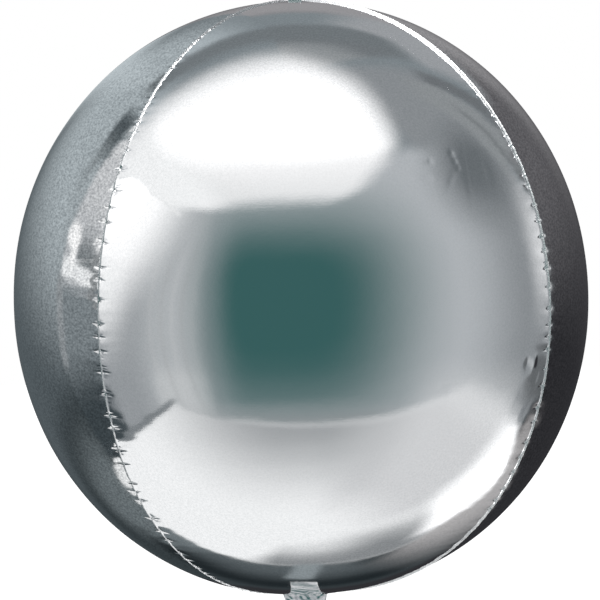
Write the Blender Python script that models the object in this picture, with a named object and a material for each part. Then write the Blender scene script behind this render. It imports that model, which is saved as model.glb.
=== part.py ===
"""Sphere foil balloon: four gores of mirror film welded along four standing seams.

Metres, +Z up through the crown. The origin is the middle of the ball. The front gore
faces -Y and the right gore faces +X. The filling tail hangs from the bottom of the ball.
"""

import math

import bmesh
import bpy
from mathutils import Vector

# Driving sizes of the filled ball
WIDTH_ACROSS_GORES = 0.380
WIDTH_ACROSS_SEAMS = 0.391
BODY_HEIGHT = 0.394
# 2 gives an ellipse, and more makes the shoulders fuller
SHOULDER_FULLNESS = 2.03
GORE_FILM = 0.0010

# Welded seam, which stands out of the ball
SEAM_STAND = 0.0015
SEAM_THICKNESS = 0.0008

# Flat tab at the crown, where the front and back gores end
CROWN_TAB_WIDTH = 0.0090
CROWN_TAB_HEIGHT = 0.0045
CROWN_TAB_THICKNESS = 0.0010
CROWN_ROOT_THICKNESS = 0.0008
CROWN_GATHER_RADIUS = 0.030

# Filling tail, a flat tube of two leaves with the valve films between them
TAIL_WIDTH = 0.026
TAIL_LENGTH = 0.075
TAIL_LEAF = 0.0006
TAIL_ROOT_STEP = 0.0001
TAIL_WELD = 0.0030
NECK_GATHER_RADIUS = 0.045
VALVE_FILM = 0.0004
VALVE_SIDE_ROOM = 0.0005
VALVE_RECESS = 0.012

# Clearance between neighbouring films, and the narrowest tip of a side gore
GAP = 0.0003
SIDE_GORE_TIP = 0.0020

# Facets
COLUMNS = 14
ROWS_PER_HALF = 20
ROW_CROWDING = 1.35
PROBE = 1e-3

GORES = ("front", "right", "back", "left")
SEAMS = ("seam_front_right", "seam_back_right", "seam_back_left", "seam_front_left")
DIAGONAL = math.sqrt(2.0)

# Room that a seam takes out of each gore beside it
SEAM_ROOM = SEAM_THICKNESS / 2 + GAP
# Half the thickness of the opening that the tail's layers and the crown tab pass through
LEAF_INNER = GAP / 2 + VALVE_FILM + GAP
LEAF_OUTER = LEAF_INNER + TAIL_LEAF
NECK_HALF = LEAF_OUTER + GAP
CROWN_HALF = max(CROWN_TAB_THICKNESS, CROWN_ROOT_THICKNESS) / 2 + GAP


def clear_scene():
    for old in list(bpy.data.objects):
        bpy.data.objects.remove(old, do_unlink=True)


def finish_material(name, color, roughness, metallic, alpha=1.0):
    material = bpy.data.materials.new(name)
    material.use_nodes = True
    shader = material.node_tree.nodes["Principled BSDF"]
    shader.inputs["Base Color"].default_value = (*color, 1.0)
    shader.inputs["Roughness"].default_value = roughness
    shader.inputs["Metallic"].default_value = metallic
    shader.inputs["Alpha"].default_value = alpha
    return material


def add_object(name, points, faces, material):
    mesh = bpy.data.meshes.new(name)
    mesh.from_pydata([tuple(p) for p in points], [], faces)
    mesh.materials.append(material)
    piece = bpy.data.objects.new(name, mesh)
    bpy.context.scene.collection.objects.link(piece)
    return piece


def smooth(piece, angle=30.0):
    piece.data.shade_smooth()
    piece.data.set_sharp_from_angle(angle=math.radians(angle))


def loft(name, rings, material):
    """A closed solid through rings of equal length, with its two ends filled."""
    count = len(rings[0])
    points = [p for ring in rings for p in ring]
    faces = []
    for r in range(len(rings) - 1):
        for i in range(count):
            j = (i + 1) % count
            faces.append((r * count + i, r * count + j, (r + 1) * count + j, (r + 1) * count + i))
    faces.append(tuple(range(count))[::-1])
    faces.append(tuple(range((len(rings) - 1) * count, len(rings) * count)))
    piece = add_object(name, points, faces, material)
    mesh = bmesh.new()
    mesh.from_mesh(piece.data)
    bmesh.ops.recalc_face_normals(mesh, faces=mesh.faces)
    mesh.to_mesh(piece.data)
    mesh.free()
    return piece


def profile(latitude):
    """Distance from the axis and height of the ball's meridian at a gore's middle."""
    rise = math.sin(latitude)
    reach = math.cos(latitude)
    full = (abs(rise) ** SHOULDER_FULLNESS + reach**SHOULDER_FULLNESS) ** (-1 / SHOULDER_FULLNESS)
    return WIDTH_ACROSS_GORES / 2 * reach * full, BODY_HEIGHT / 2 * rise * full


def gathering(latitude, radius):
    """Share of the flat end shape near a pole, and how far the seams stay apart there."""
    if latitude > 0:
        reach, half_width, half_depth = CROWN_GATHER_RADIUS, CROWN_TAB_WIDTH / 2, CROWN_HALF
    else:
        reach, half_width, half_depth = NECK_GATHER_RADIUS, TAIL_WIDTH / 2, NECK_HALF
    s = min(radius / reach, 1.0)
    share = 1.0 - s * s * (3.0 - 2.0 * s)
    return share, share * (half_width + GAP - half_depth)


def gore_point(gore, across, latitude):
    """A point of the outer surface: across runs from -1 at one seam to 1 at the next."""
    gore = gore % 4
    radius, height = profile(latitude)
    flat, spread = gathering(latitude, radius)
    turn = across * math.pi / 4
    swell = WIDTH_ACROSS_SEAMS / WIDTH_ACROSS_GORES - 1.0
    full = radius * (1.0 + (1.0 - flat) * swell * (1.0 - math.cos(4 * turn)) / 2)
    out = (1.0 - flat) * full * math.cos(turn) + flat * radius / DIAGONAL
    side = (1.0 - flat) * full * math.sin(turn) + flat * radius / DIAGONAL * across
    if gore in (0, 2):
        side += spread * across
    else:
        out += spread
    outward = ((0, -1), (1, 0), (0, 1), (-1, 0))[gore]
    sideways = (-outward[1], outward[0])
    x = out * outward[0] + side * sideways[0]
    y = out * outward[1] + side * sideways[1]
    return Vector((x, y, height))


def seam_frame(seam, latitude):
    """Place, direction across and direction outward of a seam at one latitude."""
    place = gore_point(seam, 1, latitude)
    along = gore_point(seam, 1, latitude + PROBE) - gore_point(seam, 1, latitude - PROBE)
    along.normalize()
    across = place - gore_point(seam, 1 - PROBE, latitude)
    across += gore_point(seam + 1, -1 + PROBE, latitude) - place
    across -= along * across.dot(along)
    across.normalize()
    return place, across, across.cross(along)


def end_latitude(radius):
    return math.acos(radius / (WIDTH_ACROSS_GORES / 2))


def rows(bottom_radius, top_radius):
    """Latitudes from the bottom to the top, closer together towards the poles."""
    lowest = -end_latitude(bottom_radius)
    highest = end_latitude(top_radius)
    half = []
    for i in range(1, ROWS_PER_HALF):
        half.append(math.pi / 2 * (1.0 - (1.0 - i / ROWS_PER_HALF) ** ROW_CROWDING))
    inner = [-v for v in reversed(half)] + [0.0] + half
    return [lowest] + [v for v in inner if lowest < v < highest] + [highest]


def make_gore(gore, material):
    """One quarter of the ball, cut back beside its two seams."""
    neck, crown = NECK_HALF, CROWN_HALF
    if gore in (1, 3):
        tip = SIDE_GORE_TIP / 2 + SEAM_ROOM * DIAGONAL
        neck, crown = max(neck, tip), max(crown, tip)
    points = []
    levels = rows(neck * DIAGONAL, crown * DIAGONAL)
    for latitude in levels:
        place, across, _ = seam_frame(gore, latitude)
        slope = (place - gore_point(gore, 1 - PROBE, latitude)) / PROBE
        edge = 1.0 - SEAM_ROOM / slope.dot(across)
        for i in range(COLUMNS + 1):
            points.append(gore_point(gore, edge * (2 * i / COLUMNS - 1), latitude))
    faces = []
    for r in range(len(levels) - 1):
        for i in range(COLUMNS):
            low = r * (COLUMNS + 1) + i
            high = low + COLUMNS + 1
            faces.append((low, low + 1, high + 1, high))
    piece = add_object("gore_" + GORES[gore], points, faces, material)
    wall = piece.modifiers.new("film", "SOLIDIFY")
    wall.thickness = GORE_FILM
    wall.offset = -1.0
    smooth(piece)
    return piece


def make_seam(seam, material):
    """A welded strip that stands out between two gores."""
    rings = []
    tip = SIDE_GORE_TIP / 2 + SEAM_ROOM * DIAGONAL
    neck = max(NECK_HALF, tip) * DIAGONAL
    crown = max(CROWN_HALF, tip) * DIAGONAL
    for latitude in rows(neck, crown):
        place, across, outward = seam_frame(seam, latitude)
        half = across * (SEAM_THICKNESS / 2)
        root = place - outward * GORE_FILM
        edge = place + outward * SEAM_STAND
        rings.append((root - half, root + half, edge + half, edge - half))
    piece = loft(SEAMS[seam], rings, material)
    smooth(piece)
    return piece


def make_crown_tab(material):
    """A flat tab whose slightly thinner root sits between the front and back gores."""
    half = CROWN_TAB_WIDTH / 2
    pole = BODY_HEIGHT / 2
    root, tab = CROWN_ROOT_THICKNESS / 2, CROWN_TAB_THICKNESS / 2
    levels = (
        (pole - GORE_FILM, root),
        (pole + GAP, root),
        (pole + GAP, tab),
        (pole + CROWN_TAB_HEIGHT, tab),
    )
    rings = []
    for z, deep in levels:
        corners = ((-half, -deep), (half, -deep), (half, deep), (-half, deep))
        rings.append([Vector((x, y, z)) for x, y in corners])
    return loft("crown_tab", rings, material)


def hanging_strip(name, levels, side, material):
    """A strip that hangs through the neck, from its heights and outlines of widths and depths."""
    rings = []
    for z, outline in levels:
        rings.append([Vector((x, side * depth, z)) for x, depth in outline])
    return loft(name, rings, material)


def leaf_outline(outer):
    """Outline of a leaf whose thick edges are its half of the tail's welded sides."""
    half = TAIL_WIDTH / 2
    inner = half - TAIL_WELD
    return (
        (-half, outer),
        (half, outer),
        (half, GAP / 2),
        (inner, GAP / 2),
        (inner, LEAF_INNER),
        (-inner, LEAF_INNER),
        (-inner, GAP / 2),
        (-half, GAP / 2),
    )


def make_tail_leaf(name, side, material):
    """A leaf with a slightly thinner root inside the neck."""
    pole = -BODY_HEIGHT / 2
    root = leaf_outline(LEAF_OUTER - TAIL_ROOT_STEP)
    leaf = leaf_outline(LEAF_OUTER)
    levels = (
        (pole + GORE_FILM, root),
        (pole - GAP, root),
        (pole - GAP, leaf),
        (pole - TAIL_LENGTH, leaf),
    )
    return hanging_strip(name, levels, side, material)


def make_valve_film(name, side, material):
    """A film of the valve, inside the tail and short of its open mouth."""
    half = TAIL_WIDTH / 2 - TAIL_WELD - VALVE_SIDE_ROOM
    near, far = GAP / 2, GAP / 2 + VALVE_FILM
    outline = ((-half, near), (half, near), (half, far), (-half, far))
    pole = -BODY_HEIGHT / 2
    levels = ((pole + GORE_FILM, outline), (pole - TAIL_LENGTH + VALVE_RECESS, outline))
    return hanging_strip(name, levels, side, material)


def main():
    clear_scene()
    silver = (0.80, 0.81, 0.82)
    for gore, name in enumerate(GORES):
        make_gore(gore, finish_material("foil_" + name, silver, 0.06, 1.0))
    for seam, name in enumerate(SEAMS):
        make_seam(seam, finish_material("weld_" + name, silver, 0.18, 1.0))
    make_crown_tab(finish_material("weld_crown", silver, 0.18, 1.0))
    leaf = (0.76, 0.77, 0.78)
    make_tail_leaf("tail_front_leaf", -1, finish_material("foil_tail_front", leaf, 0.12, 1.0))
    make_tail_leaf("tail_back_leaf", 1, finish_material("foil_tail_back", leaf, 0.12, 1.0))
    clear = (0.85, 0.87, 0.88)
    make_valve_film("valve_front_film", -1, finish_material("valve_front", clear, 0.2, 0.0, 0.5))
    make_valve_film("valve_back_film", 1, finish_material("valve_back", clear, 0.2, 0.0, 0.5))


main()
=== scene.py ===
import math

import bpy
import numpy as np
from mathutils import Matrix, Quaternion, Vector


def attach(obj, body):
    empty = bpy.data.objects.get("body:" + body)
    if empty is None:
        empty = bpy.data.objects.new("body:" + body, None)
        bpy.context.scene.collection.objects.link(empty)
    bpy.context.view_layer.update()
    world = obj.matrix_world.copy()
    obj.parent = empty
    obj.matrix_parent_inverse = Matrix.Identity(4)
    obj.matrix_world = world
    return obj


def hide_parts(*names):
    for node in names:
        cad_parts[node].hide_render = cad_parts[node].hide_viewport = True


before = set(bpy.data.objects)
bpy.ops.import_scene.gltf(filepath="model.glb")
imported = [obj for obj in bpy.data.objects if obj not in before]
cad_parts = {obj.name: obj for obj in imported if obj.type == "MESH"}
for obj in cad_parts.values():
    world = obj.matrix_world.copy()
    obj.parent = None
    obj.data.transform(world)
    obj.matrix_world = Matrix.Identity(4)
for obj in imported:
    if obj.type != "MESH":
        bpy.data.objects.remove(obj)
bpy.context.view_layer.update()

# Sizes of the filled ball, in metres, as in the solid model. FULLNESS is the power of its outline,
# which is 2 for an ellipse.
ACROSS_GORES = 0.380
ACROSS_SEAMS = 0.391
HEIGHT = 0.394
FULLNESS = 2.03
SEAM_STAND = 0.0015
TAB_WIDTH = 0.0090
TAB_HEIGHT = 0.0045
CROWN_GATHER = 0.030
TAIL_WIDTH = 0.026
TAIL_LENGTH = 0.075
NECK_GATHER = 0.045
VALVE_RECESS = 0.012
GAP = 0.0003

# Openings that the films leave at the crown and the neck, measured from the middle plane
CROWN_HALF = 0.0004
NECK_HALF = 0.0015

# Mesh detail: rows from pole to pole, distances of the columns from a seam in mm, and the half width
# of a gore below which its columns draw together
ROWS = 2048
SEAM_SAMPLES = 20001
FINE = (0.12, 0.4, 0.8, 1.25, 1.75, 2.3, 3.0, 3.8, 4.7)
MEDIUM = (5.7, 6.9, 8.2, 9.6, 11.2, 13.0, 15.2, 17.8, 20.8, 24.2)
COARSE_COLUMNS = 24
NARROW = 0.040

# Columns of the front gore's right half, closer together where it is dented: from and to as distances
# from the seam in mm at the belly, and their number
DENTED = ((24.2, 30.0, 4), (30.0, 80.0, 36), (80.0, 149.0, 12))

# Height of each seam's fin as a share of SEAM_STAND, at the belly and at the crown,
# and how far it leans to the gore after it
FIN_SHARE = ((0.66, 0.95), (0.70, 0.85), (0.70, 0.85), (0.40, 0.55))
FIN_LEAN = (0.36, -0.20, 0.15, 0.05)

# Reach of the creases in the gore before each seam and in the gore after it
CREASE_REACH = ((0.70, 0.50), (0.8, 0.8), (0.8, 0.8), (1.0, 1.15))

# Creases across the seams: pitch at the belly and towards the poles, depth, and the same for the
# fine ones between them. PUFF is how far the film swells between two creases.
BELLY_PITCH = 0.0112
POLE_PITCH = 0.0070
CREASE_DEPTH = 0.00040
FINE_PITCH = 0.0036
FINE_DEPTH = 0.00010
PUFF = 0.00022
RIPPLE = 0.00003

# Pleats at the neck and at the crown: number, depth and reach. GATHER_DEPTH is for the puckers above
# the tail.
NECK_PLEATS = (12, 0.0010, 0.016)
CROWN_PLEATS = (6, 0.00035, 0.010)
GATHER_DEPTH = 0.00028

# Unevenness of the film in wide and in small swells, and the bead that runs along each weld
WIDE_SWELL = 0.00012
SMALL_SWELL = 0.000012
BEAD = 0.0003

# Each crease pinches the fin over a short way, lifts its edge and pushes it aside
PINCH_WIDTH = 0.00045
PINCH_LIFT = 0.0003
PINCH_SWAY = 0.0006

# Half thickness of each thin sheet, and how far the tail's films stay apart at their welds
FIN_HALF = 0.00008
TAB_HALF = 0.00012
LEAF_HALF = 0.00006
VALVE_HALF = 0.00003
LEAF_APART = 0.00011
VALVE_APART = 0.00007

# The crown tab starts a little below the pole and ends a little below the solid's top
TAB_FOOT = 0.0008
TAB_SPARE = 0.0002

# Sharp folds across the tail: slant, start below the neck and depth
TAIL_FOLDS = (
    (0.62, 0.014, 0.0008),
    (-0.75, 0.030, 0.0009),
    (0.5, 0.043, 0.0007),
    (-0.4, 0.055, 0.0006),
)
FOLD_WIDTH = 0.0016

# Bumps of the film's surface: its peel, the lines of its rolling, its grain and the crimp of a weld
PEEL_BUMP = 0.00002
LINE_BUMP = 0.000004
GRAIN_BUMP = 0.000006
CRIMP_BUMP = 0.00004
WELD_BUMP = 0.00001
VALVE_BUMP = 0.0001

# Camera as read from the photo, with the lens and the sensor in mm. The ball's middle is CAMERA_DROP
# pixels off the middle of a picture PICTURE_WIDTH pixels wide.
CAMERA_DISTANCE = 1.5
CAMERA_AZIMUTH = -6.6
CAMERA_ELEVATION = 5.3
CAMERA_ROLL = 1.0
CAMERA_LENS = 134.5
CAMERA_SENSOR = 36.0
CAMERA_DROP = 2.2
PICTURE_WIDTH = 600

FLOOR_HALF = 12.0
FLOOR_LEVEL = -1.6

GORES = ("front", "right", "back", "left")
SEAMS = ("front_right", "back_right", "back_left", "front_left")

# Direction out of the ball at the middle of each gore
OUTWARD = ((0, -1), (1, 0), (0, 1), (-1, 0))


def surface(gore, t, latitude):
    """Points of the smooth ball: t runs from -1 at one seam to 1 at the next."""
    gore = gore % 4
    rise, reach = np.sin(latitude), np.cos(latitude)
    full = (np.abs(rise) ** FULLNESS + reach**FULLNESS) ** (-1 / FULLNESS)
    radius = ACROSS_GORES / 2 * reach * full
    z = HEIGHT / 2 * rise * full
    upper = latitude > 0
    gather = np.where(upper, CROWN_GATHER, NECK_GATHER)
    half_width = np.where(upper, TAB_WIDTH / 2, TAIL_WIDTH / 2)
    half_depth = np.where(upper, CROWN_HALF, NECK_HALF)
    s = np.minimum(radius / gather, 1.0)
    flat = 1 - s * s * (3 - 2 * s)
    spread = flat * (half_width + GAP - half_depth)
    turn = t * math.pi / 4
    swell = ACROSS_SEAMS / ACROSS_GORES - 1
    round_ = radius * (1 + (1 - flat) * swell * (1 - np.cos(4 * turn)) / 2)
    out = (1 - flat) * round_ * np.cos(turn) + flat * radius / math.sqrt(2)
    side = (1 - flat) * round_ * np.sin(turn) + flat * radius / math.sqrt(2) * t
    if gore in (0, 2):
        side = side + spread * t
    else:
        out = out + spread
    ox, oy = OUTWARD[gore]
    return np.stack([out * ox - side * oy, out * oy + side * ox, z + 0 * t], -1)


def unit(v):
    """The directions of v, each of length 1."""
    return v / np.maximum(np.linalg.norm(v, axis=-1, keepdims=True), 1e-12)


def seam_frames(seam, latitude):
    """Place, direction across and direction outward along a seam."""
    probe = 1e-3
    ones = np.ones_like(latitude)
    place = surface(seam, ones, latitude)
    along = unit(surface(seam, ones, latitude + probe) - surface(seam, ones, latitude - probe))
    across = surface(seam + 1, (probe - 1) * ones, latitude) - surface(seam, (1 - probe) * ones, latitude)
    across = unit(across - along * (across * along).sum(-1, keepdims=True))
    return place, across, np.cross(across, along)


def seam_rows():
    """Latitudes evenly spaced along a seam, and their places along it from the equator."""
    lowest = -math.acos(NECK_HALF * math.sqrt(2) / (ACROSS_GORES / 2))
    highest = math.acos(CROWN_HALF * math.sqrt(2) / (ACROSS_GORES / 2))
    fine = np.linspace(lowest, highest, SEAM_SAMPLES)
    points = surface(0, np.ones_like(fine), fine)
    length = np.concatenate([[0], np.cumsum(np.linalg.norm(np.diff(points, axis=0), axis=1))])
    latitude = np.interp(np.linspace(0, length[-1], ROWS + 1), length, fine)
    place = np.interp(latitude, fine, length) - np.interp(0.0, fine, length)
    return latitude, place


LATITUDE, ALONG = seam_rows()


def waves(x, lengths, seed):
    """A smooth random line of unit size, from waves of the given lengths."""
    rng = np.random.default_rng(seed)
    total = np.zeros_like(x)
    for length in lengths:
        total += np.sin(2 * math.pi * x / length + rng.uniform(0, 2 * math.pi)) * rng.uniform(0.6, 1.2)
    return total / math.sqrt(len(lengths))


def swells(p, lengths, seed):
    """A smooth random field in space of unit size."""
    rng = np.random.default_rng(seed)
    total = np.zeros(p.shape[:-1])
    for length in lengths:
        direction = rng.normal(size=3)
        direction /= np.linalg.norm(direction)
        total += np.sin(2 * math.pi * (p @ direction) / length + rng.uniform(0, 2 * math.pi))
    return total / math.sqrt(len(lengths))


def step(a, b, x):
    """0 at a and 1 at b, with a smooth change between them."""
    s = np.clip((x - a) / (b - a), 0, 1)
    return s * s * (3 - 2 * s)


def crease_strength(place):
    """Creases are deepest round the belly and finer towards the crown."""
    return 0.35 + 0.65 * step(0.150, 0.075, place) * step(-0.235, -0.170, place)


def make_creases(seam):
    """Short creases that cross a seam: place, depth, half width, reach on each side, lean."""
    rng = np.random.default_rng(40 + seam)
    main, minor = [], []
    s = ALONG[0] + 0.004
    while s < ALONG[-1] - 0.003:
        s = ALONG[np.searchsorted(ALONG, s)]
        strength = float(crease_strength(np.array(s)))
        pitch = BELLY_PITCH if strength > 0.6 else POLE_PITCH
        depth = strength * rng.uniform(0.5, 1.1) * CREASE_DEPTH
        reach = (0.25 + 0.75 * strength) * rng.uniform(0.0045, 0.0080, 2) * CREASE_REACH[seam]
        main.append((s, depth, rng.uniform(0.00036, 0.00050), reach, rng.uniform(-0.15, 0.15)))
        for k in range(rng.choice((0, 0, 1, 2, 3))):
            beside = s + (k + 1) * rng.uniform(0.0009, 0.0013)
            short = reach * rng.uniform(0.4, 0.8, 2)
            minor.append((beside, depth * rng.uniform(0.3, 0.6), 0.00034, short, rng.uniform(-0.15, 0.15)))
        s += pitch * rng.uniform(0.60, 1.40)
    s = ALONG[0] + 0.002
    while s < ALONG[-1] - 0.002:
        strength = float(crease_strength(np.array(s)))
        depth = (0.3 + 0.7 * strength) * rng.uniform(0.2, 1.0) * FINE_DEPTH
        reach = (0.3 + 0.7 * strength) * rng.uniform(0.0012, 0.0036, 2)
        minor.append((s, depth, rng.uniform(0.00034, 0.0005), reach, rng.uniform(-0.4, 0.4)))
        s += FINE_PITCH * rng.uniform(0.5, 1.6)
    return main, minor


CREASES = [make_creases(seam) for seam in range(4)]


def pucker(seam, side, away):
    """Height of the puckered film beside a seam: away holds the distance from it by row and column."""
    height = np.zeros_like(away)
    main, minor = CREASES[seam % 4]
    for group in (main, minor):
        for s, depth, width, reach, lean in group:
            i, j = np.searchsorted(ALONG, (s - 0.006, s + 0.006))
            u = away[i:j]
            taper = np.clip(1 - u / reach[side], 0, 1)
            flare = 1 + 1.6 * np.exp(-u / 0.0012)
            x = np.abs(ALONG[i:j, None] + lean * u - s) / (width * flare)
            height[i:j] -= depth * taper**0.8 * np.exp(-(x**1.6))
            height[i:j] += 0.10 * depth * taper * np.exp(-(((x - 2.2) / 1.0) ** 2))
    places = np.array([c[0] for c in main])
    k = np.clip(np.searchsorted(places, ALONG) - 1, 0, len(places) - 2)
    share = np.clip((ALONG - places[k]) / (places[k + 1] - places[k]), 0, 1)
    puff = PUFF * np.sin(math.pi * share) ** 2 * crease_strength(ALONG)
    height += puff[:, None] * np.clip(1 - away / 0.011, 0, 1) ** 2
    ripple = waves(ALONG, (0.0063, 0.0089, 0.0127, 0.0171, 0.0243), 70 + 2 * (seam % 4) + side)
    height += RIPPLE * (ripple * crease_strength(ALONG))[:, None] * np.exp(-away / 0.014)
    return height


def seam_depth(seam):
    """Height of the film right at a seam."""
    zero = np.zeros((ROWS + 1, 1))
    return (pucker(seam, 0, zero) + pucker(seam, 1, zero))[:, 0] / 2


# Small dents in the front gore: x and z of the middle, half length, half width, turn in degrees and
# depth, which is below 0 for a ridge
DENTS = (
    (0.0760, 0.0985, 0.0022, 0.0013, 110, 0.00034),
    (0.0778, 0.0938, 0.0018, 0.0012, 120, 0.00030),
    (0.0796, 0.0900, 0.0016, 0.0012, 60, 0.00026),
    (0.0845, 0.0880, 0.0130, 0.0016, 94, 0.00020),
    (0.0890, 0.0890, 0.0100, 0.0030, 84, 0.00022),
    (0.0990, 0.0860, 0.0080, 0.0022, 104, 0.00016),
    (0.0740, 0.0830, 0.0060, 0.0018, 60, 0.00014),
    (0.0613, 0.0945, 0.0014, 0.0012, 40, 0.00018),
    (0.0600, 0.0840, 0.0020, 0.0012, 80, 0.00018),
    (0.0500, 0.0775, 0.0016, 0.0012, 20, 0.00014),
    (0.0636, -0.0397, 0.0024, 0.0013, 50, 0.00014),
    (0.0660, -0.0375, 0.0016, 0.0012, 120, 0.00014),
    (0.1233, -0.0305, 0.0044, 0.0018, 76, 0.00110),
    (0.1258, -0.0295, 0.0044, 0.0018, 80, -0.00110),
    (0.1183, -0.0485, 0.0120, 0.0014, 61, 0.00013),
    (0.1230, -0.0470, 0.0110, 0.0015, 66, 0.00014),
    (0.1290, -0.0400, 0.0090, 0.0016, 74, 0.00018),
    (0.1215, -0.0610, 0.0080, 0.0016, 62, 0.00010),
)


def dents(points):
    """Height of the dents at points of the front gore."""
    height = np.zeros(points.shape[:-1])
    x, z = points[..., 0], points[..., 2]
    for x0, z0, long, wide, turn, depth in DENTS:
        c, s = math.cos(math.radians(turn)), math.sin(math.radians(turn))
        a = ((x - x0) * c + (z - z0) * s) / long
        b = (-(x - x0) * s + (z - z0) * c) / wide
        height -= depth * np.exp(-(a * a) - np.abs(b) ** 1.6)
    return height


def pleats(gore, t, radius, lower):
    """Folds that run out of the neck or the crown tab."""
    rng = np.random.default_rng(300 + 10 * gore + int(lower))
    height = np.zeros_like(t * radius)
    count, deep, reach = NECK_PLEATS if lower else CROWN_PLEATS
    for k in range(count):
        middle = -1 + 2 * (k + rng.uniform(0.2, 0.8)) / count
        wide = rng.uniform(0.04, 0.08)
        drift = rng.uniform(-0.10, 0.10)
        size = rng.uniform(0.45, 1.0)
        long = reach * rng.uniform(0.6, 1.5)
        x = (t - middle - drift * radius / 0.03) / (wide * (1 + 6 * radius))
        height -= size * deep * np.exp(-radius / long) * np.exp(-(np.abs(x) ** 1.4))
    return height


def gathers(points):
    """Puckers in the film above the tail, where the front and back gores are drawn together."""
    x = points[..., 0]
    radius = np.linalg.norm(points[..., :2], axis=-1)
    wide = 0.0062 + 0.0075 * step(0.084, 0.045, radius)
    mask = step(0.060, 0.040, radius) * step(0.006, 0.016, radius) * np.exp(-((x / wide) ** 4))
    folds = np.sin(x / 0.0012 + radius / 0.0021) + np.sin(1.3 + radius / 0.0013 - x / 0.0016)
    folds += np.sin(radius / 0.0010 + 2 * np.sin(x / 0.0024))
    return GATHER_DEPTH * mask * folds * (points[..., 2] < 0)


def grid_mesh(name, points, columns, strides):
    """A sheet whose columns keep every row, every second row or every fourth row."""
    kept, index = [], []
    count = 0
    for c in range(columns):
        rows = np.arange(0, ROWS + 1, strides[c])
        lookup = np.full(ROWS + 1, -1)
        lookup[rows] = count + np.arange(len(rows))
        index.append(lookup)
        kept.append(points[rows, c])
        count += len(rows)
    faces = []
    for c in range(columns - 1):
        stride = max(strides[c], strides[c + 1])
        low = np.arange(0, ROWS, stride)
        corners = [index[c][low]]
        corners += [index[c + 1][low + k] for k in range(0, stride + 1, strides[c + 1])]
        corners += [index[c][low + k] for k in range(stride, 0, -strides[c])]
        faces += np.stack(corners, 1).tolist()
    return add_mesh(name, np.concatenate(kept), faces)


def add_mesh(name, points, faces):
    """Adds a smooth mesh to the scene as an object of its own."""
    mesh = bpy.data.meshes.new(name)
    mesh.from_pydata([tuple(p) for p in np.asarray(points, float).tolist()], [], faces)
    mesh.shade_smooth()
    piece = bpy.data.objects.new(name, mesh)
    bpy.context.scene.collection.objects.link(piece)
    return piece


def place_piece(piece, material, slot, *nodes):
    """Puts the piece in its solid's place, with its material."""
    piece.data.materials.append(material)
    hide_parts(*nodes)
    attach(piece, "root")


def inner_shares(dented):
    """Places of the coarse columns between the last one of MEDIUM, at 0, and the gore's middle, at 1."""
    if not dented:
        return np.arange(1, COARSE_COLUMNS + 1) / COARSE_COLUMNS
    places = np.concatenate([np.linspace(a, b, count, endpoint=False) for a, b, count in DENTED])
    first, last = DENTED[0][0], DENTED[-1][1]
    return (np.append(places[1:], last) - first) / (last - first)


def make_gore(gore, material):
    """A quarter of the ball in puckered mirror film."""
    edge = np.concatenate([FINE, MEDIUM]) / 1000
    latitude = LATITUDE[:, None]
    half = surface(gore, np.linspace(0, 1, 41)[None, :], latitude)
    width = np.linalg.norm(np.diff(half, axis=1), axis=2).sum(1)[:, None]
    shrink = width / (width**4 + NARROW**4) ** 0.25
    near = edge[None, :] * shrink
    left, right = [
        np.concatenate([near, near[:, -1:] + (width - near[:, -1:]) * shares[None, :]], 1) / width
        for shares in (inner_shares(False), inner_shares(gore == 0))
    ]
    t = np.concatenate([left - 1, 1 - right[:, ::-1][:, 1:]], 1)
    columns = t.shape[1]
    outer = [1] * len(FINE) + [2] * len(MEDIUM)
    strides = outer + [4] * (columns - 2 * len(outer)) + outer[::-1]
    base = surface(gore, t, latitude)
    probe = 1e-4
    sideways = surface(gore, t + probe, latitude) - surface(gore, t - probe, latitude)
    upward = surface(gore, t, latitude + probe) - surface(gore, t, latitude - probe)
    normal = unit(np.cross(sideways, upward))
    from_left = (t + 1) * width
    from_right = (1 - t) * width
    taper = np.clip(width / 0.02, 0, 1)
    height = (pucker(gore - 1, 1, from_left) + pucker(gore, 0, from_right)) * taper
    height += WIDE_SWELL * swells(base, (0.061, 0.083, 0.097, 0.118, 0.143), 11 + gore)
    height += SMALL_SWELL * swells(base, (0.013, 0.017, 0.023, 0.029, 0.037), 21 + gore)
    nearest = np.minimum(from_left, from_right)
    height += BEAD * np.exp(-nearest / BEAD)
    radius = np.linalg.norm(base[..., :2], axis=-1)
    height += np.where(latitude < 0, pleats(gore, t, radius, True), pleats(gore, t, radius, False))
    if gore % 2 == 0:
        height += gathers(base)
    if gore == 0:
        height += dents(base)
    points = base + normal * height[..., None]
    piece = grid_mesh("film_" + GORES[gore], points, columns, strides)
    place_piece(piece, material, "silver_film", "gore_" + GORES[gore])


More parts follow.
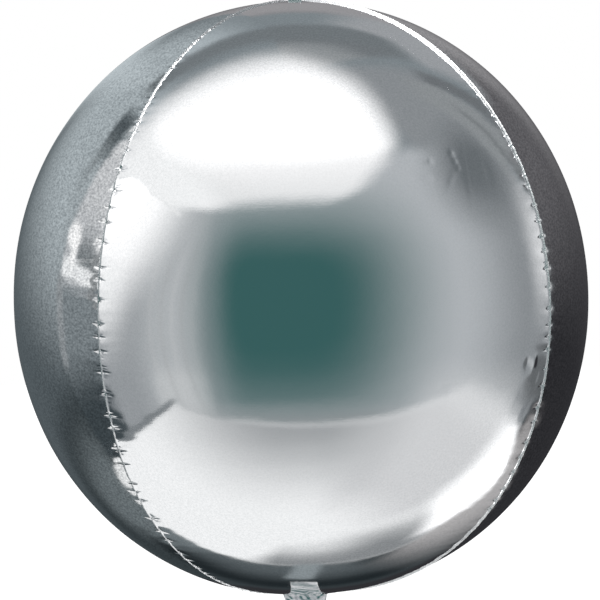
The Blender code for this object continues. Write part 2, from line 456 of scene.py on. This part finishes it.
def make_fin(seam, material):
    """A welded strip that stands out of the ball, nicked along its edge and pinched at each crease."""
    rng = np.random.default_rng(90 + seam)
    place, across, outward = seam_frames(seam, LATITUDE)
    depth = seam_depth(seam)
    strength = crease_strength(ALONG)
    nick = waves(ALONG, (0.0017, 0.0023, 0.0031, 0.0042, 0.0064), 120 + seam)
    belly, crown = FIN_SHARE[seam]
    stand = SEAM_STAND * (belly + (crown - belly) * step(0.0, 0.11, ALONG) + 0.06 * nick)
    sway = FIN_LEAN[seam] * stand + 0.00010 * waves(ALONG, (0.013, 0.019, 0.027, 0.041), 130 + seam)
    sway += 0.00004 * waves(ALONG, (0.0019, 0.0026, 0.0037), 140 + seam)
    for s, *_ in CREASES[seam][0]:
        x = np.exp(-(((ALONG - s) / PINCH_WIDTH) ** 2))
        stand = stand + rng.uniform(0.0, PINCH_LIFT) * x
        sway = sway + rng.choice((-1, 1)) * rng.uniform(0.2, 1.0) * PINCH_SWAY * x * (0.5 + strength / 2)
    ends = np.minimum(ALONG - ALONG[0], ALONG[-1] - ALONG)
    stand = stand * (0.45 + 0.55 * step(0.0, 0.008, ends))
    left, right = [], []
    for h in (-0.5, 0.0, 0.5, 1.0):
        lift = stand * h + depth * (0.9 - 0.45 * max(h, 0))
        lean = sway * max(h, 0) ** 1.2
        middle = place + outward * lift[:, None] + across * lean[:, None]
        left.append(middle - across * FIN_HALF)
        right.append(middle + across * FIN_HALF)
    ring = left + right[::-1]
    count = len(ring)
    points = np.stack(ring, 1).reshape(-1, 3)
    r, i = np.meshgrid(np.arange(ROWS), np.arange(count), indexing="ij")
    j = (i + 1) % count
    low, high = r * count, (r + 1) * count
    quads = np.stack([low + i, low + j, high + j, high + i], -1).reshape(-1, 4)[:, ::-1]
    faces = quads.tolist()
    faces.append(list(range(count)))
    faces.append(list(range(ROWS * count, (ROWS + 1) * count))[::-1])
    piece = add_mesh("weld_" + SEAMS[seam], points, faces)
    place_piece(piece, material, "welded_film", "seam_" + SEAMS[seam])


def slab(name, middle, normal, half):
    """A thin closed sheet round a grid of points."""
    rows, columns = middle.shape[:2]
    front = (middle + normal * half).reshape(-1, 3)
    back = (middle - normal * half).reshape(-1, 3)
    r, c = np.meshgrid(np.arange(rows - 1), np.arange(columns - 1), indexing="ij")
    a = (r * columns + c).reshape(-1)
    quads = np.stack([a, a + 1, a + columns + 1, a + columns], -1)
    faces = quads.tolist() + (quads[:, ::-1] + rows * columns).tolist()
    rim = [(0, c) for c in range(columns - 1)]
    rim += [(r, columns - 1) for r in range(rows - 1)]
    rim += [(rows - 1, c) for c in range(columns - 1, 0, -1)]
    rim += [(r, 0) for r in range(rows - 1, 0, -1)]
    rim = [r * columns + c for r, c in rim]
    shift = rows * columns
    for k, a in enumerate(rim):
        b = rim[(k + 1) % len(rim)]
        faces.append((b, a, a + shift, b + shift))
    return add_mesh(name, np.concatenate([front, back]), faces)


def forward(sheet):
    """Normals that all point to the front."""
    normal = np.zeros_like(sheet)
    normal[..., 1] = -1
    return normal


def make_tab(material):
    """The crown tab, a small crimped flap with rounded corners."""
    across = np.linspace(-1, 1, 61)[None, :]
    up = np.linspace(0, 1, 41)[:, None]
    shoulder = np.sqrt(1 - np.clip((np.abs(across) - 0.72) / 0.28, 0, 1) ** 2)
    z = HEIGHT / 2 - TAB_FOOT + up * (TAB_HEIGHT - TAB_SPARE + TAB_FOOT) * (0.78 + 0.22 * shoulder)
    x = across * TAB_WIDTH / 2 + 0 * up
    bend = 0.00016 * np.sin(7.1 * across + 1.1) + 0.00010 * np.sin(15.3 * across + 3.0 * up)
    y = bend * up**1.3 + 0.00004 * np.sin(60 * across) * up
    middle = np.stack([x, y, z], -1)
    piece = slab("crown_flap", middle, forward(middle), TAB_HALF)
    place_piece(piece, material, "welded_film", "crown_tab")


def tail_middle(across, down):
    """The limp middle sheet of the tail: across from -1 to 1, down in metres from the neck."""
    narrow = 1.18 - 0.34 * step(0.000, 0.020, down) + 0.07 * step(0.045, 0.072, down)
    x = across * TAIL_WIDTH / 2 * narrow
    loose = step(-0.001, 0.012, down)
    y = loose * (0.0010 * np.sin(down / 0.011 + 0.8) + 0.0007 * np.sin(down / 0.0062 + 2.2 * across))
    root = 0.0007 * step(0.034, 0.008, down)
    y += root * (np.sin(6.5 * across + down / 0.0021) + np.sin(2.0 - 8.0 * across + down / 0.0017))
    y -= 0.0042 * step(0.0, 0.014, down) * step(0.055, 0.014, down)
    y += loose * 0.0009 * np.sin(2.4 * across + 0.7 + down / 0.02)
    for slant, start, deep in TAIL_FOLDS:
        away = (down - start - slant * x) / FOLD_WIDTH
        y += loose * deep * np.exp(-np.abs(away) ** 1.3)
    z = -HEIGHT / 2 - down
    return np.stack([x + 0 * down, y, z + 0 * across], -1)


def make_tail(leaf_film, valve_film):
    """Two welded leaves with the valve films between them."""
    across = np.linspace(-1, 1, 37)[None, :]
    down = np.linspace(-0.0012, TAIL_LENGTH, 151)[:, None]
    middle = tail_middle(across, down)
    puff = np.clip(1 - (np.abs(across) / 0.78) ** 2.2, 0, 1)
    swell = 0.00042 + 0.00045 * step(0.058, TAIL_LENGTH, down) + 0.0003 * step(0.02, 0.0, down)
    creased = 1 + 0.35 * np.sin(across * 9 + down * 310) * np.sin(down * 170 + across * 2)
    apart = LEAF_APART + puff * swell * creased
    normal = forward(middle)
    for side, name in ((1, "front"), (-1, "back")):
        leaf = middle + normal * (side * apart)[..., None]
        piece = slab("leaf_" + name, leaf, normal, LEAF_HALF)
        place_piece(piece, leaf_film, "tail_film", "tail_" + name + "_leaf")
    inner = np.linspace(-0.73, 0.73, 21)[None, :]
    down = np.linspace(0.0, TAIL_LENGTH - VALVE_RECESS, 91)[:, None]
    middle = tail_middle(inner, down)
    normal = forward(middle)
    for side, name in ((1, "front"), (-1, "back")):
        piece = slab("valve_" + name, middle + normal * side * VALVE_APART, normal, VALVE_HALF)
        place_piece(piece, valve_film, "valve_film", "valve_" + name + "_film")


def new_material(name):
    """A material with its node tree and its shader."""
    material = bpy.data.materials.new(name)
    material.use_nodes = True
    tree = material.node_tree
    return material, tree, tree.nodes["Principled BSDF"]


def noise(tree, scale, detail, stretch=(1, 1, 1)):
    """Fine random pattern fixed to the piece: scale is in features a metre."""
    place = tree.nodes.new("ShaderNodeTexCoord")
    mapping = tree.nodes.new("ShaderNodeMapping")
    mapping.inputs["Scale"].default_value = stretch
    pattern = tree.nodes.new("ShaderNodeTexNoise")
    pattern.inputs["Scale"].default_value = scale
    pattern.inputs["Detail"].default_value = detail
    tree.links.new(place.outputs["Object"], mapping.inputs["Vector"])
    tree.links.new(mapping.outputs["Vector"], pattern.inputs["Vector"])
    return pattern.outputs["Fac"]


def spread(tree, value, low, high):
    """Maps a pattern onto a range."""
    remap = tree.nodes.new("ShaderNodeMapRange")
    remap.inputs["From Min"].default_value = 0.3
    remap.inputs["From Max"].default_value = 0.7
    remap.inputs["To Min"].default_value = low
    remap.inputs["To Max"].default_value = high
    tree.links.new(value, remap.inputs["Value"])
    return remap.outputs["Result"]


def bump(tree, layers):
    """Stacks bumps: each layer is a pattern and a height in metres."""
    last = None
    for value, height in layers:
        node = tree.nodes.new("ShaderNodeBump")
        node.inputs["Strength"].default_value = 1.0
        node.inputs["Distance"].default_value = height
        tree.links.new(value, node.inputs["Height"])
        if last is not None:
            tree.links.new(last, node.inputs["Normal"])
        last = node.outputs["Normal"]
    return last


def tint(tree, value, dark, light):
    """A colour between dark and light."""
    mix = tree.nodes.new("ShaderNodeMix")
    mix.data_type = "RGBA"
    mix.inputs["A"].default_value = (*dark, 1)
    mix.inputs["B"].default_value = (*light, 1)
    tree.links.new(value, mix.inputs["Factor"])
    return mix.outputs["Result"]


def from_middle(tree, near, far):
    """0 near the middle of the front and back gores, 1 towards their rims: distances in metres."""
    place = tree.nodes.new("ShaderNodeTexCoord")
    mapping = tree.nodes.new("ShaderNodeMapping")
    mapping.inputs["Scale"].default_value = (1, 0, 1)
    length = tree.nodes.new("ShaderNodeVectorMath")
    length.operation = "LENGTH"
    remap = tree.nodes.new("ShaderNodeMapRange")
    remap.interpolation_type = "SMOOTHSTEP"
    remap.inputs["From Min"].default_value = near
    remap.inputs["From Max"].default_value = far
    tree.links.new(place.outputs["Object"], mapping.inputs["Vector"])
    tree.links.new(mapping.outputs["Vector"], length.inputs[0])
    tree.links.new(length.outputs["Value"], remap.inputs["Value"])
    return remap.outputs["Result"]


def mirror_film(name, dark, light, rough, scale, middle=None, fade=None):
    """Metallised film with uneven gloss and a faint grain from dark to light.

    Where fade is given, the grain goes over into the colour of the middle between those distances.
    """
    material, tree, shader = new_material(name)
    fine = noise(tree, scale, 2, (1, 1, 1) if fade else (1, 0.4, 1))
    lines = noise(tree, 1, 3, (55, 55, 1500))
    peel = noise(tree, 130, 2)
    smudge = noise(tree, 22, 4)
    shader.inputs["Metallic"].default_value = 1.0
    colour = tint(tree, spread(tree, fine, 0, 1), dark, light)
    if fade:
        mix = tree.nodes.new("ShaderNodeMix")
        mix.data_type = "RGBA"
        mix.inputs["A"].default_value = (*middle, 1)
        tree.links.new(colour, mix.inputs["B"])
        tree.links.new(from_middle(tree, *fade), mix.inputs["Factor"])
        colour = mix.outputs["Result"]
    tree.links.new(colour, shader.inputs["Base Color"])
    tree.links.new(spread(tree, smudge, rough * 0.8, rough * 1.3), shader.inputs["Roughness"])
    normal = bump(tree, ((peel, PEEL_BUMP), (lines, LINE_BUMP), (fine, GRAIN_BUMP)))
    tree.links.new(normal, shader.inputs["Normal"])
    return material


def welded_film(name, dark, light, low, high):
    """Heat-welded strip: crimped, a little duller."""
    material, tree, shader = new_material(name)
    crimp = noise(tree, 1, 2, (900, 900, 1900))
    fine = noise(tree, 2200, 2)
    shader.inputs["Metallic"].default_value = 1.0
    tree.links.new(tint(tree, spread(tree, fine, 0, 1), dark, light), shader.inputs["Base Color"])
    tree.links.new(spread(tree, crimp, low, high), shader.inputs["Roughness"])
    tree.links.new(bump(tree, ((crimp, CRIMP_BUMP), (fine, WELD_BUMP))), shader.inputs["Normal"])
    return material


def clear_film(name):
    """Thin clear film of the valve."""
    material, tree, shader = new_material(name)
    haze = noise(tree, 300, 3)
    shader.inputs["Base Color"].default_value = (0.85, 0.87, 0.88, 1)
    shader.inputs["Alpha"].default_value = 0.35
    tree.links.new(spread(tree, haze, 0.12, 0.30), shader.inputs["Roughness"])
    tree.links.new(bump(tree, ((haze, VALVE_BUMP),)), shader.inputs["Normal"])
    return material


# Studio: soft panels round the ball, placed by azimuth and elevation in degrees. Azimuth 0 is in
# front of the ball and 90 on its right. The ceiling and the table have flat coordinates instead.
# Tones are 0 to 255 as seen in the film, and those over 255 are brighter than white. Each streak on
# the left wall has its azimuth and its tone.
FILM_TONE = 0.88
HORIZON = 0.001
LEFT_LAMP = (-86, 31)
STREAK_HALF = 0.7
STREAKS = ((-60.5, 180), (-55.0, 163), (-50.0, 188), (-45.5, 164), (-41.0, 184))


def linear(v):
    """Light that the film has to be given to show a tone."""
    v = v / 255
    return (v / 12.92 if v <= 0.04045 else ((v + 0.055) / 1.055) ** 2.4) / FILM_TONE


class Studio:
    """Builds the world's nodes: directions, soft masks over them, and panels laid one over another.

    az and el are in degrees. a and b are places on the ceiling, to the right and to the rear, and
    u and v on the table, as shares of its distance above or below the ball.
    """

    def __init__(self, tree):
        self.tree = tree
        place = tree.nodes.new("ShaderNodeTexCoord")
        split = tree.nodes.new("ShaderNodeSeparateXYZ")
        length = tree.nodes.new("ShaderNodeVectorMath")
        length.operation = "NORMALIZE"
        tree.links.new(place.outputs["Generated"], length.inputs[0])
        tree.links.new(length.outputs["Vector"], split.inputs["Vector"])
        x, y, z = split.outputs
        degrees = 180 / math.pi
        self.el = self.times(self.math("ARCSINE", z), degrees)
        self.az = self.times(self.math("ARCTAN2", x, self.times(y, -1)), degrees)
        above = self.most(z, HORIZON)
        self.a, self.b = self.math("DIVIDE", x, above), self.math("DIVIDE", y, above)
        below = self.most(self.times(z, -1), HORIZON)
        self.u, self.v = self.math("DIVIDE", x, below), self.math("DIVIDE", y, below)
        self.out = None

    def math(self, operation, *values):
        """A math node fed with numbers or with other nodes' values."""
        node = self.tree.nodes.new("ShaderNodeMath")
        node.operation = operation
        for socket, value in zip(node.inputs, values):
            if isinstance(value, (int, float)):
                socket.default_value = value
            else:
                self.tree.links.new(value, socket)
        return node.outputs["Value"]

    def times(self, *masks):
        total = masks[0]
        for mask in masks[1:]:
            total = self.math("MULTIPLY", total, mask)
        return total

    def plus(self, x, y):
        return self.math("ADD", x, y)

    def minus(self, x, y):
        return self.math("SUBTRACT", x, y)

    def most(self, x, y):
        return self.math("MAXIMUM", x, y)

    def lean(self, x, y, share):
        """x with a share of y added, which slants an edge or bends it."""
        return self.plus(x, self.times(y, share))

    def past(self, x, limit):
        """How far x is past a limit, and 0 before it."""
        return self.most(self.minus(x, limit), 0.0)

    def short(self, limit, x):
        """How far x is short of a limit, and 0 past it."""
        return self.most(self.minus(limit, x), 0.0)

    def distance(self, x, y):
        return self.math("SQRT", self.plus(self.times(x, x), self.times(y, y)))

    def oval(self, az, el, left, right, down, up):
        """Distance from a place as a share of the reach to each side of it."""
        across, over = self.minus(self.az, az), self.minus(self.el, el)
        across = self.most(self.math("DIVIDE", across, right), self.math("DIVIDE", across, -left))
        over = self.most(self.math("DIVIDE", over, up), self.math("DIVIDE", over, -down))
        return self.distance(across, over)

    def rise(self, a, b, x, low=0.0, high=1.0):
        """0 at a and 1 at b, or low and high, with a smooth change between them."""
        node = self.tree.nodes.new("ShaderNodeMapRange")
        node.interpolation_type = "SMOOTHSTEP"
        node.inputs["From Min"].default_value = a
        node.inputs["From Max"].default_value = b
        node.inputs["To Min"].default_value = low
        node.inputs["To Max"].default_value = high
        self.tree.links.new(x, node.inputs["Value"])
        return node.outputs["Result"]

    def fall(self, a, b, x):
        return self.rise(a, b, x, 1.0, 0.0)

    def span(self, x, a, b, c, d):
        """Rises from a to b and falls from c to d."""
        return self.times(self.rise(a, b, x), self.fall(c, d, x))

    def band(self, x, low, high, soft):
        """1 from low to high and 0 outside, with edges blurred over soft."""
        return self.span(x, low - soft / 2, low + soft / 2, high - soft / 2, high + soft / 2)

    def panel(self, azimuths, elevations):
        """Each side of the panel has its low edge, its high edge and the width of their blur."""
        return self.times(self.band(self.az, *azimuths), self.band(self.el, *elevations))

    def mixed(self, mask, a, b):
        """Goes over from a to b where the mask is 1: each is a tone, three tones or a node's colour."""
        node = self.tree.nodes.new("ShaderNodeMix")
        node.data_type = "RGBA"
        for name, value in (("A", a), ("B", b)):
            if isinstance(value, (int, float)):
                value = (value, value, value)
            if isinstance(value, tuple):
                node.inputs[name].default_value = (*[linear(v) for v in value], 1)
            else:
                self.tree.links.new(value, node.inputs[name])
        self.tree.links.new(mask, node.inputs["Factor"])
        return node.outputs["Result"]

    def lay(self, mask, low, high=None, e0=0, e1=1):
        """Lays a panel over the rest, of one tone or from one tone up to another."""
        tone = low if high is None else self.mixed(self.rise(e0, e1, self.el), low, high)
        self.out = tone if self.out is None else self.mixed(mask, self.out, tone)


def lay_rear_left(k):
    """Light wall behind on the left, with the floor at its foot."""
    tilt = k.lean(k.el, k.plus(k.az, 140), 0.33)
    tone = k.mixed(k.rise(-16, 20, tilt), (82, 90, 94), (169, 178, 182))
    k.lay(k.panel((-171, -112, 20), (-22, 52, 12)), tone)
    slant = k.lean(k.el, k.plus(k.az, 170), -1.1)
    k.lay(k.times(k.band(slant, 10, 20, 9), k.fall(-154, -142, k.az)), (181, 190, 194))
    k.lay(k.times(k.band(k.az, -157, -116, 20), k.fall(-38, -22, k.el)), (106, 114, 117))


def lay_rear_right(k):
    """Dim wall behind on the right, and the floor far behind."""
    k.lay(k.panel((106, 180, 5), (-34, 33, 8)), (46, 46, 49), (98, 97, 100), -14, 20)
    k.lay(k.times(k.rise(138, 160, k.az), k.span(k.el, -4, 22, 30, 38)), (146, 145, 147))
    k.lay(k.panel((132, 165, 12), (30, 49, 8)), (152, 155, 158))
    around = k.math("ABSOLUTE", k.az)
    k.lay(k.times(k.rise(150, 162, around), k.fall(-42, -34, k.el)), (84, 91, 94), (32, 38, 41), -61, -43)
    k.lay(k.times(k.span(k.az, 103, 110, 114, 123), k.band(k.el, -42, -26, 8)), (152, 150, 150))
    k.lay(k.times(k.span(k.az, 106, 112, 126, 162), k.band(k.el, -59, -33, 6)), (170, 168, 168))


def lay_bay(k):
    """Bay on the far left."""
    across = k.band(k.az, -115, -86, 3)
    k.lay(k.times(across, k.band(k.el, -40, 5, 6)), (62, 70, 74), (127, 135, 139), -27, -8)
    k.lay(k.times(across, k.band(k.el, 2, 46, 5)), (188, 191, 194), (203, 205, 207), 10, 30)
    shade = k.times(k.rise(-107, -103, k.az), k.span(k.el, 6.5, 8.5, 9, 21))
    k.lay(k.times(shade, across), (122, 128, 131))
    k.lay(k.panel((-96, -86, 2), (0, 10, 2)), (138, 142, 144))
    k.lay(k.panel((-117.5, -113, 2), (-15, 3, 4)), (148, 153, 156))


def lay_left_wall(k):
    """Left wall with a lighter foot and faint bowed streaks."""
    tone = k.mixed(k.rise(-76, -54, k.az), (147, 151, 154), (172, 176, 178))
    k.lay(k.times(k.span(k.az, -91, -86, -40, -28), k.band(k.el, -38, 38, 4)), tone)
    k.lay(k.panel((-62, -36, 8), (-40, -19, 10)), (187, 190, 191))
    bow = k.plus(k.el, 6)
    bent = k.lean(k.az, k.times(bow, bow), -0.006)
    for place, light in STREAKS:
        streak = k.band(bent, place - STREAK_HALF, place + STREAK_HALF, 2.4)
        streak = k.times(streak, k.band(k.el, -32, 20, 24), 0.5)
        k.lay(streak, (light, light + 2, light + 3))


def lay_left_lamp(k):
    """Lamp on the left wall, with its glow leaning down the wall."""
    az, el = LEFT_LAMP
    across = k.lean(k.minus(k.az, az), k.minus(el, k.el), 0.28)
    far = k.distance(k.times(across, 0.95), k.times(k.minus(k.el, el), 0.85))
    edge = k.most(k.rise(9, 15, k.el), k.rise(-91, -87, k.az))
    k.lay(k.times(k.fall(14, 41, far), k.rise(-97, -92, k.az), edge), 258)
    k.lay(k.times(k.fall(7, 11, far), k.rise(-93, -91, k.az)), 330)
    below = k.span(k.el, -22, 8, 8, 18)
    k.lay(k.times(k.span(k.az, -91, -86, -92, -66), below), (240, 241, 241))


def lay_right_wall(k):
    """Right wall, dim high up beside the ball, with a bright strip by its far edge."""
    tone = k.mixed(k.rise(50, 88, k.az), (174, 178, 181), (136, 140, 143))
    k.lay(k.times(k.span(k.az, -42, -30, 100, 106), k.band(k.el, -38, 52, 8)), tone)
    k.lay(k.times(k.span(k.az, 50, 66, 116, 134), k.rise(44, 54, k.el)), (135, 139, 142))
    k.lay(k.times(k.rise(132, 142, k.az), k.rise(46, 54, k.el)), (112, 117, 120), (140, 144, 146), 60, 69)
    k.lay(k.fall(0.1, 0.95, k.oval(82, 37, 44, 32, 26, 20)), (102, 107, 110))
    k.lay(k.panel((98, 116, 5), (27, 60, 8)), (138, 142, 144))
    k.lay(k.panel((105.5, 108.5, 2), (18, 46, 8)), (118, 122, 124))
    k.lay(k.panel((116.5, 126, 5), (33, 55, 6)), (107, 111, 114))
    k.lay(k.panel((94, 106, 6), (-25, -13, 8)), (98, 101, 103))
    strip = k.times(k.span(k.az, 87, 103, 103, 107), k.span(k.el, -14, 9, 6, 30))
    k.lay(strip, (225, 226, 227))


def lay_dark_opening(k):
    """Dark opening in front, with round corners."""
    right, left = k.plus(k.az, 8), k.minus(-16, k.az)
    over, under = k.minus(k.el, 3), k.minus(8, k.el)
    side = k.most(k.times(right, 0.02), k.times(left, 0.037))
    level = k.most(k.times(over, 0.0235), k.times(under, 0.0145))
    cubes = k.plus(k.times(side, side, side), k.times(level, level, level))
    far = k.math("POWER", k.most(cubes, 0.0), 1 / 3)
    k.lay(k.fall(0.28, 1.24, far), (55, 93, 92))


def lay_table(k):
    """Floor in front of the table, then the table with its rim and its darker parts."""
    k.lay(k.times(k.span(k.az, 30, 60, 81, 99), k.fall(-35, -14, k.el)), (200, 202, 203))
    k.lay(k.times(k.band(k.az, -57, 38, 10), k.fall(-43, -29, k.el), 0.8), (160, 163, 165))
    low_down = k.fall(-20, -18, k.el)
    side = k.lean(k.u, k.v, -0.114)
    rim = k.times(k.band(side, -1.40, -1.28, 0.03), k.band(k.v, -1.0, 0.3, 0.3), low_down)
    k.lay(rim, (118, 123, 126))
    front = k.lean(k.v, k.short(-0.5, k.u), -0.18)
    crisp = k.rise(-1.12, -1.08, front)
    soft = k.times(k.rise(-1.24, -1.06, front), k.rise(-0.9, -0.4, k.u))
    rear = k.lean(k.v, k.math("MINIMUM", k.short(0.0, k.u), 0.9), -0.17)
    rear = k.lean(rear, k.past(k.u, 0.0), 0.1)
    top = k.times(k.rise(-1.29, -1.26, side), k.most(crisp, soft), k.fall(0.45, 0.50, rear))
    top = k.times(top, k.fall(1.62, 1.68, k.minus(k.v, k.u)), k.fall(1.0, 2.2, k.u), low_down)
    k.lay(top, (240, 241, 241))
    k.lay(k.times(k.span(k.az, 2, 34, 84, 104), k.rise(-86, -62, k.el), top), (206, 207, 208))
    k.lay(k.times(k.span(k.az, -88, -8, 4, 48), k.rise(-84, -36, k.el), top), (150, 153, 155))
    behind = k.most(k.rise(86, 132, k.az), k.fall(-178, -162, k.az))
    k.lay(k.times(behind, k.rise(-84, -66, k.el), top), (133, 136, 138))
    k.lay(k.times(k.band(k.u, 0.045, 0.125, 0.03), k.band(k.v, 0.45, 0.80, 0.08)), (134, 142, 145))


def lay_right_lamp(k):
    """Lamp low on the right, brightest in its middle."""
    bent = k.lean(k.az, k.short(-50, k.el), -0.7)
    top = k.lean(k.plus(k.el, 31), k.past(k.az, 102), 0.42)
    lamp = k.times(k.rise(82, 105, k.az), k.fall(119, 126, bent), k.fall(-2.5, 2.5, top))
    lamp = k.times(lamp, k.rise(-63.5, -55, k.el))
    k.lay(lamp, 280)
    k.lay(k.times(lamp, k.panel((98, 116, 4), (-50, -38, 4))), 540)


def lay_small_window(k):
    """Small window on the left, in the bay."""
    k.lay(k.fall(0.65, 1.15, k.oval(-110.5, 13.9, 5.8, 5.8, 3.6, 3.6)), 253)
    k.lay(k.panel((-114.5, -95, 1.5), (3.5, 8, 1.5)), (238, 240, 241))
    k.lay(k.panel((-110.5, -106, 1.5), (7, 12, 1.5)), 255)


def lay_ceiling(k):
    """Dark beam behind the soft light, and the corner of wall and ceiling."""
    k.lay(k.times(k.band(k.b, 0.55, 0.82, 0.14), k.band(k.a, -0.70, 0.50, 0.20)), (111, 117, 120))
    turned = k.lean(k.b, k.short(-0.9, k.a), -0.3)
    beam = k.times(k.band(turned, 0.49, 0.80, 0.14), k.span(k.a, -1.65, -1.15, -0.98, -0.78))
    k.lay(beam, (82, 90, 94))
    fold = k.times(k.band(k.az, -125, -119, 4), k.span(k.el, 16, 30, 32, 40), 0.6)
    k.lay(fold, (128, 135, 138))
    k.lay(k.times(k.band(k.a, -1.37, -1.31, 0.03), k.band(k.b, -1.0, 0.1, 0.1)), (230, 231, 231))


def lay_soft_light(k):
    """Large soft light over the ball, brightest in its middle."""
    right = k.lean(k.a, k.b, 0.54)
    front = k.lean(k.a, k.plus(k.b, 0.6), -0.25)
    front = k.lean(front, k.short(-1.0, k.b), 0.35)
    rear = k.lean(k.b, k.past(k.a, 0.0), 0.5)
    rear = k.lean(rear, k.short(-0.4, k.a), -0.12)
    near = k.lean(k.b, k.short(-0.92, k.a), -0.45)
    near = k.lean(near, k.times(k.a, k.a), -0.18)
    light = k.times(k.fall(0.10, 0.41, right), k.fall(0.42, 0.63, front), k.fall(-0.06, 0.50, rear))
    light = k.times(light, k.rise(-1.42, -1.10, near), k.rise(-1.37, -1.31, k.a))
    k.lay(light, (228, 229, 229), (243, 243, 243), 39, 51)
    k.lay(k.times(light, k.fall(-0.95, -0.60, k.a)), (241, 242, 242))
    sooner = k.lean(k.el, k.fall(-0.9, -0.2, k.a), 4)
    k.lay(k.times(light, k.rise(49, 57, sooner)), 264)
    k.lay(k.times(k.rise(0.92, 1.0, light), k.rise(56, 64, k.el)), 620)


def build_studio(k):
    """Lays the panels from the room's far parts to its near ones and returns their colour."""
    k.lay(None, (54, 61, 64), (124, 132, 136), -25, 30)
    lay_rear_left(k)
    lay_rear_right(k)
    lay_bay(k)
    lay_left_wall(k)
    lay_left_lamp(k)
    lay_right_wall(k)
    lay_dark_opening(k)
    lay_table(k)
    lay_right_lamp(k)
    lay_small_window(k)
    lay_ceiling(k)
    lay_soft_light(k)
    return k.out


def make_world():
    """The studio lights the ball, and the backdrop behind it is plain white."""
    world = bpy.data.worlds.new("studio")
    bpy.context.scene.world = world
    world.use_nodes = True
    tree = world.node_tree
    tree.nodes.clear()
    output = tree.nodes.new("ShaderNodeOutputWorld")
    lit = tree.nodes.new("ShaderNodeBackground")
    plain = tree.nodes.new("ShaderNodeBackground")
    plain.inputs["Color"].default_value = (1, 1, 1, 1)
    tree.links.new(build_studio(Studio(tree)), lit.inputs["Color"])
    path = tree.nodes.new("ShaderNodeLightPath")
    choose = tree.nodes.new("ShaderNodeMixShader")
    tree.links.new(path.outputs["Is Camera Ray"], choose.inputs["Fac"])
    tree.links.new(lit.outputs["Background"], choose.inputs[1])
    tree.links.new(plain.outputs["Background"], choose.inputs[2])
    tree.links.new(choose.outputs["Shader"], output.inputs["Surface"])


def make_floor():
    """A plain pale floor well below the ball, which only the camera sees."""
    corners = [(x * FLOOR_HALF, y * FLOOR_HALF, FLOOR_LEVEL) for x, y in ((-1, -1), (1, -1), (1, 1), (-1, 1))]
    piece = add_mesh("studio_floor", corners, [(0, 1, 2, 3)])
    material, _, shader = new_material("pale_floor")
    shader.inputs["Base Color"].default_value = (0.2, 0.2, 0.2, 1)
    shader.inputs["Roughness"].default_value = 1.0
    shader.inputs["Emission Color"].default_value = (1, 1, 1, 1)
    shader.inputs["Emission Strength"].default_value = 0.9
    piece.data.materials.append(material)
    piece.visible_glossy = False
    piece.visible_diffuse = False
    piece.visible_transmission = False
    piece.visible_shadow = False


def make_camera():
    """The photo's camera, aimed at the ball's middle."""
    a, e = math.radians(CAMERA_AZIMUTH), math.radians(CAMERA_ELEVATION)
    back = Vector((math.sin(a) * math.cos(e), -math.cos(a) * math.cos(e), math.sin(e)))
    data = bpy.data.cameras.new("photo_camera")
    data.lens = CAMERA_LENS
    data.sensor_width = CAMERA_SENSOR
    data.shift_y = -CAMERA_DROP / PICTURE_WIDTH
    camera = bpy.data.objects.new("photo_camera", data)
    bpy.context.scene.collection.objects.link(camera)
    camera.rotation_mode = "QUATERNION"
    camera.location = back * CAMERA_DISTANCE
    roll = Quaternion((0, 0, 1), -math.radians(CAMERA_ROLL))
    camera.rotation_quaternion = (-back).to_track_quat("-Z", "Y") @ roll
    bpy.context.scene.camera = camera


make_camera()
bpy.context.scene.view_settings.view_transform = "Standard"

# The side gores have a stronger grain and a darker colour, which is painted shade, and the front and back
# gores are plain in their middle
plain = {"middle": (0.875, 0.88, 0.89), "fade": (0.05, 0.19)}
silver = mirror_film("mirror_film", (0.76, 0.77, 0.78), (0.97, 0.97, 0.98), 0.07, 850, **plain)
# Film of the side gores: its grain is random tone, and its darker average colour is painted shade
shaded_side_film = mirror_film("side_film_painted_shade", (0.50, 0.51, 0.52), (1.0, 1.0, 1.0), 0.07, 800)
limp = mirror_film("tail_film", (0.84, 0.85, 0.86), (0.94, 0.94, 0.95), 0.20, 1000)
welded = welded_film("welded_film", (0.78, 0.79, 0.80), (0.95, 0.95, 0.95), 0.26, 0.42)
# Copy of the welded film for the fins at seams 0 and 2: its higher roughness is its own, and its lighter
# colour is a painted highlight
crimped = welded_film("crimped_weld_painted_highlight", (0.86, 0.86, 0.87), (1.0, 1.0, 1.0), 0.42, 0.60)
clear = clear_film("valve_film")
# Side gores take the film with painted shade, and the fins at seams 0 and 2 take the weld with a painted
# highlight
for number in range(4):
    make_gore(number, shaded_side_film if number % 2 else silver)
    make_fin(number, welded if number % 2 else crimped)
make_tab(welded)
make_tail(limp, clear)
make_world()
make_floor()
